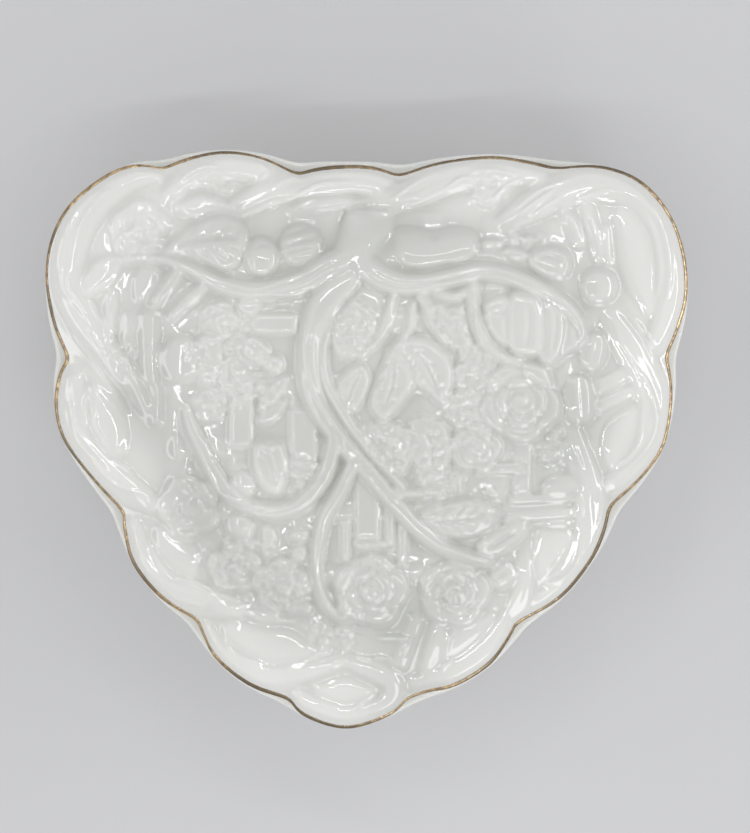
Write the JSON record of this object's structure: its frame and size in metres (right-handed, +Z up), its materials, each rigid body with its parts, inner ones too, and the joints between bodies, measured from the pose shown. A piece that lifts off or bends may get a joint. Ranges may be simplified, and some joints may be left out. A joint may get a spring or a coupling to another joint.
{
  "type": "trinket box",
  "caption": "Heart-shaped porcelain trinket box: a scalloped lid with floral relief and a gilded edge lifts off a lobed bowl.",
  "frame": {"origin": "middle of the footprint, on the surface that the foot ring stands on", "axes": "+X along the width, +Z up, and the heart's point towards -Y"},
  "size_m": [0.1307, 0.1175, 0.0513],
  "materials": {
    "glazed_porcelain": "glossy ivory glaze",
    "bisque": "matt, unglazed",
    "gilding": "fired gold, slightly worn"
  },
  "bodies": {
    "bowl": {"bowl": "glazed_porcelain", "foot_ring": "bisque"},
    "lid": {"lid_shell": "glazed_porcelain", "lid_flange": "bisque", "lid_gilding": "gilding"}
  },
  "joints": [
    {"name": "lid_lift", "type": "slide", "parent": "bowl", "child": "lid", "axis": [0, 0, 1], "range_m": [0, 0.08]}
  ]
}
